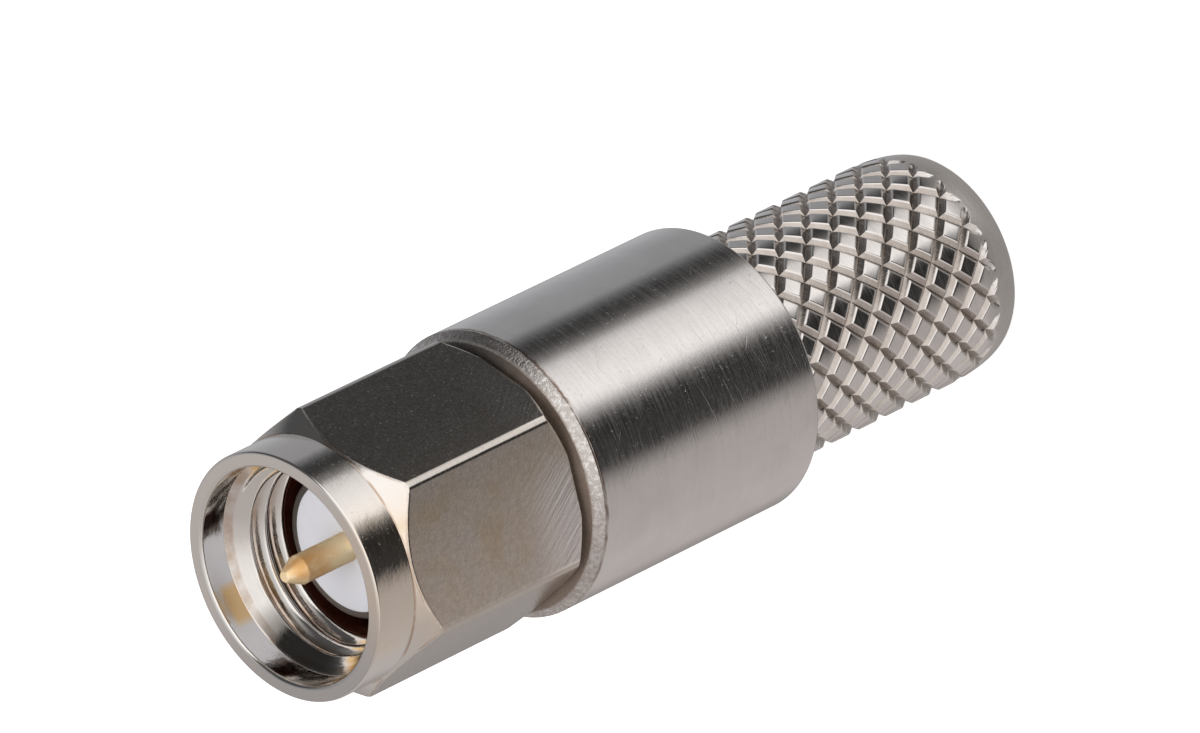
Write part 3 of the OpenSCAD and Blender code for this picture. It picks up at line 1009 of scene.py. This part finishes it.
def nut_outside():
    """Outline of the nut's outside and of its bore behind the thread, from front to rear."""
    slope = math.tan(math.radians(CHAMFER_ANGLE))
    hex_full = COLLAR_Z - (CORNER_R - COLLAR_R) / slope
    rear_start = REAR_Z + REAR_CHAMFER / slope
    rear_r = CORNER_R - REAR_CHAMFER
    groove_r = RING_R + RING_PLAY
    groove_rear, groove_front = RING_REAR - RING_PLAY, RING_FRONT + RING_PLAY
    outline = rounded([
        (LEAD_R, FRONT_Z, 0), (COLLAR_R, FRONT_Z, 0.09), (COLLAR_R, COLLAR_Z, 0.04),
        (CORNER_R, hex_full, 0.04), (CORNER_R, rear_start, 0.04), (rear_r, REAR_Z, 0.05),
        (TURNING_R, REAR_Z, 0.04), (TURNING_R, groove_rear, 0), (groove_r, groove_rear, 0),
        (groove_r, groove_front, 0), (TURNING_R, groove_front, 0), (TURNING_R, THREAD_REAR, 0),
    ])[1:]
    # the outline's chamfers run through the corner trim, so rows are added where the flats cut them
    rows = np.linspace(COLLAR_Z - 0.03, hex_full + 0.03, 16)
    outline = add_rows(outline, rows, (COLLAR_R, COLLAR_Z), (CORNER_R, hex_full))
    rows = np.linspace(rear_start - 0.03, REAR_Z + 0.08, 12)
    return add_rows(outline, rows, (CORNER_R, rear_start), (rear_r, REAR_Z))


def coupling_nut():
    """Nut with a round collar, chamfered hexagon and a true helical thread."""
    outside = nut_outside()
    rows = np.arange(THREAD_REAR, LEAD_Z, THREAD_PITCH / THREAD_STEPS)
    cone_radii = [THREAD_CREST_R, THREAD_CREST_R, LEAD_R]
    bore = np.interp(rows, [THREAD_REAR, THREAD_FRONT, LEAD_Z], cone_radii)
    lip = rounded([
        (THREAD_CREST_R, THREAD_FRONT, 0), (LEAD_R, LEAD_Z, 0.03), (LEAD_R, FRONT_Z, 0.12),
        (COLLAR_R, FRONT_Z, 0),
    ])
    lip = lip[(lip[:, 1] > rows[-1] + TINY) & (lip[:, 0] < COLLAR_R - TINY)]
    heights = np.concatenate([outside[:, 1], rows, lip[:, 1]])
    radii = np.concatenate([outside[:, 0], bore, lip[:, 0]])
    angles = nut_angles()
    radii = np.repeat(radii[:, None], len(angles), axis=1)
    outer = radii[: len(outside)]
    trimmed = soft_min(outer, hexagon_radius(angles)[None, :], HEX_BLEND)
    radii[: len(outside)] = np.where(outer > TURNING_R + HEX_FROM, trimmed, outer)
    threaded = slice(len(outside), len(outside) + len(rows))
    radii[threaded] = np.maximum(radii[threaded], thread_radius(angles, rows))
    points = ring_points(radii, heights, angles)
    faces = ring_faces(len(heights), len(angles))
    return add_piece(
        "coupling_nut_plated", points, faces, "nut", nut_nickel(), ["coupling_nut"]
    )


# ------------------------------------------------ shell and body


def front_shell(metal):
    """Contact sleeve, neck and chamfered flange."""
    groove_in = RING_INNER_R - RING_PLAY
    groove_rear, groove_front = RING_REAR - RING_PLAY / 2, RING_FRONT + RING_PLAY / 2
    corners = [
        (NOSE_IN, BEAD_FRONT, 0), (NOSE_IN, MATING_Z, 0.03), (NOSE_R, MATING_Z, 0.17),
        (NOSE_R, GASKET_FRONT, 0), (SEAT_R, GASKET_FRONT, 0), (SEAT_R, NECK_FRONT, 0),
        (NECK_R, NECK_FRONT, 0.04), (NECK_R, groove_front, 0), (groove_in, groove_front, 0),
        (groove_in, groove_rear, 0), (NECK_R, groove_rear, 0), (NECK_R, FLANGE_FRONT, 0.03),
        (BODY_R - FLANGE_CHAMFER, FLANGE_FRONT, 0.04), (BODY_R, FLANGE_FRONT - FLANGE_CHAMFER, 0.04),
        (BODY_R, BODY_FRONT, 0.015), (SPIGOT_R, BODY_FRONT, 0), (SPIGOT_R, SPIGOT_END, 0),
        (BEAD_R, SPIGOT_END, 0), (BEAD_R, BEAD_FRONT, 0),
    ]
    return turned_piece(
        "front_shell_plated", corners, LARGE_COLUMNS, "body", metal, ["front_shell"]
    )


def body_barrel(metal):
    """Turned sleeve with lightly broken edges."""
    corners = [
        (SPIGOT_R, BODY_FRONT, 0), (SPIGOT_R, SPIGOT_END, 0), (BEAD_R, SPIGOT_END, 0),
        (BEAD_R, STUB_FRONT, 0), (CORE_R, STUB_FRONT, 0), (CORE_R, POCKET_FRONT, 0),
        (POCKET_R, POCKET_FRONT, 0), (POCKET_R, BODY_REAR, 0.03), (BODY_R, BODY_REAR, 0.07),
        (BODY_R, BODY_FRONT, 0.02),
    ]
    return turned_piece(
        "body_barrel_plated", corners, LARGE_COLUMNS, "body", metal, ["body_barrel"]
    )


# ------------------------------------------------ crimp stub


def dome_radius(heights):
    """Radius of the stub's plain surface, which rounds off towards the rear."""
    down = np.clip(1 - heights / STUB_ROUND_L, 0, 1)
    return STUB_R - STUB_ROUND_DROP * (1 - np.sqrt(1 - down * down))


def knurled_points():
    """Points of the knurl, ring after ring from its front to its rear, and the angles of two rings.

    Two families of helical lines carry the points, as close as the grooves need. The lines of one
    family are counted by p and of the other by q, and a groove runs along every whole number of either.
    The angles are those of the first ring and of the last.
    """
    cell = np.array(KNURL_LINES)
    lines = len(cell)
    around, along = KNURL_STARTS * lines, KNURL_ROWS * lines
    index = np.arange(around + along + 1)
    place = index // lines + cell[index % lines]
    ring, q_index = np.meshgrid(np.arange(along + 1), np.arange(around), indexing="ij")
    p, q = place[ring + q_index], place[q_index]
    angles = math.radians(KNURL_TURN) + (p + q) / 2 * 2 * math.pi / KNURL_STARTS
    heights = POCKET_FRONT - (p - q) / 2 * KNURL_PITCH
    off = np.minimum(np.abs(p - np.round(p)), np.abs(q - np.round(q)))
    run_out = np.clip((KNURL_END + KNURL_FADE - heights) / KNURL_FADE, 0, 1) * KNURL_RUN_OUT
    slope = np.sqrt(off * off + KNURL_VALLEY) / (KNURL_GROOVE / 2)
    groove = STUB_R + KNURL_DEPTH * (slope + run_out - 1)
    radii = soft_min(dome_radius(heights), groove, KNURL_EDGE)
    points = np.stack([radii * np.cos(angles), radii * np.sin(angles), heights], axis=2)
    return points.reshape(-1, 3), angles[0], angles[-1]


def knurled_faces():
    """Triangles between the knurl's rings. Each follows the crease of the corner that it lies in."""
    lines = len(KNURL_LINES)
    around, along = KNURL_STARTS * lines, KNURL_ROWS * lines
    faces = []
    for q in range(around):
        right = (q + 1) % around
        q_first = q % lines < lines / 2
        for ring in range(along + 1):
            here, there = ring * around + q, ring * around + right
            below, above = (ring + 1) * around + q, (ring - 1) * around + right
            if ring == 0:
                faces.append((here, there, below))
            elif ring == along:
                faces.append((here, above, there))
            elif ((ring + q) % lines < lines / 2) == q_first:
                faces += [(here, there, below), (here, above, there)]
            else:
                faces += [(here, above, below), (below, above, there)]
    return faces


def crimp_stub(metal):
    """Stub with a diamond knurl that runs out into a plain, rounded rear end."""
    knurl, front_angles, rear_angles = knurled_points()
    faces = knurled_faces()
    around = len(front_angles)
    dome = KNURL_END * (1 - np.sin(np.radians(np.linspace(0, 90, DOME_ROWS + 1)[1:])))
    inner = rounded([
        (dome_radius(np.array([0.0]))[0], 0, 0), (STUB_BORE_R + BORE_CHAMFER, 0, 0.02),
        (STUB_BORE_R, BORE_CHAMFER, 0.02), (STUB_BORE_R, STUB_FRONT, 0), (CORE_R, STUB_FRONT, 0),
        (CORE_R, POCKET_FRONT, 0),
    ])[1:]
    radii = np.concatenate([dome_radius(dome), inner[:, 0]])
    plain = ring_points(radii, np.concatenate([dome, inner[:, 1]]), rear_angles)
    start = len(knurl) - around
    for face in ring_faces(len(radii) + 1, around, closed=False):
        faces.append(tuple(start + corner for corner in face))
    # the last ring of the core meets the first ring of the knurl, inside the body
    last = len(knurl) + (len(radii) - 1) * around
    shift = KNURL_ROWS * len(KNURL_LINES) // 2
    for j in range(around):
        a, b = (j + shift) % around, (j + shift + 1) % around
        faces.append((last + j, last + (j + 1) % around, b, a))
    return add_piece(
        "crimp_stub_knurled", np.concatenate([knurl, plain]), faces, "body", metal,
        ["crimp_stub"], sharp=32,
    )


# ------------------------------------------------ gasket, insulators and contact


def gasket():
    """Soft ring with rounded rims, seated on its step."""
    corners = [
        (SEAT_R, NECK_FRONT, 0), (SEAT_R, GASKET_FRONT, 0.04), (GASKET_R, GASKET_FRONT, 0.18),
        (GASKET_R, NECK_FRONT, 0.18),
    ]
    return turned_piece(
        "gasket_ring", corners, SMALL_COLUMNS, "body", silicone(), ["gasket"]
    )


def front_insulator(white):
    """Insulator that fills the contact sleeve, with a thin lip round the pin."""
    corners = [
        (SHANK_R, INSULATOR_REAR, 0), (SHANK_R, MATING_Z - LIP_L, 0), (PIN_R, MATING_Z - LIP_L, 0),
        (PIN_R, MATING_Z, 0.02), (NOSE_IN, MATING_Z, 0.03), (NOSE_IN, INSULATOR_REAR, 0),
    ]
    return turned_piece(
        "front_insulator_disc", corners, SMALL_COLUMNS, "body", white, ["front_insulator"]
    )


def rear_insulator(white):
    """Bead that carries the solder socket."""
    corners = [
        (SOCKET_R, BEAD_REAR, 0.03), (SOCKET_R, BEAD_FRONT, 0), (BEAD_R, BEAD_FRONT, 0),
        (BEAD_R, BEAD_REAR, 0.05),
    ]
    return turned_piece(
        "rear_insulator_bead", corners, SMALL_COLUMNS, "body", white, ["rear_insulator"]
    )


def center_contact():
    """Pointed pin, shank and solder socket, closed at both ends on the axis."""
    bore_end = SOCKET_REAR + SOCKET_BORE_L
    outline = rounded([
        (0, PIN_TIP, 0), (PIN_TIP_R, PIN_TIP, 0.05), (PIN_R, PIN_TIP - PIN_TIP_L, 0.05),
        (PIN_R, MATING_Z - LIP_L, 0), (SHANK_R, MATING_Z - LIP_L, 0), (SHANK_R, INSULATOR_REAR, 0),
        (SOCKET_R, INSULATOR_REAR, 0), (SOCKET_R, SOCKET_REAR, 0.04),
        (SOCKET_BORE_R, SOCKET_REAR, 0.03), (SOCKET_BORE_R, bore_end, 0), (0, bore_end + DRILL_CONE, 0),
    ])
    rings = outline[1:-1]
    points = ring_points(rings[:, 0], rings[:, 1], even_angles(PIN_COLUMNS))
    ends = np.array([[0, 0, outline[0, 1]], [0, 0, outline[-1, 1]]])
    faces = ring_faces(len(rings), PIN_COLUMNS, closed=False)
    tip, bore_tip = len(points), len(points) + 1
    last = (len(rings) - 1) * PIN_COLUMNS
    around = [(j, (j + 1) % PIN_COLUMNS) for j in range(PIN_COLUMNS)]
    faces += [(tip, k, j) for j, k in around]
    faces += [(bore_tip, last + j, last + k) for j, k in around]
    return add_piece(
        "center_contact_gold", np.concatenate([points, ends]), faces, "body", gold(),
        ["center_contact"],
    )


# ------------------------------------------------ scene

bpy.context.scene.view_settings.view_transform = "Standard"
aim_camera()
build_world()
build_floor()
add_lamp("key light", azimuth=20, elevation=74, distance=0.5, size=0.35, watts=0.9)

body_metal = turned_nickel()
white_plastic = fluoropolymer()
made = [
    coupling_nut(), front_shell(body_metal), body_barrel(body_metal), crimp_stub(knurled_nickel()),
    gasket(), front_insulator(white_plastic), rear_insulator(white_plastic), center_contact(),
]
for piece in made:
    turn_outward(piece)

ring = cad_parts["retaining_ring"]
ring.data.materials.clear()
ring.data.materials.append(bronze())
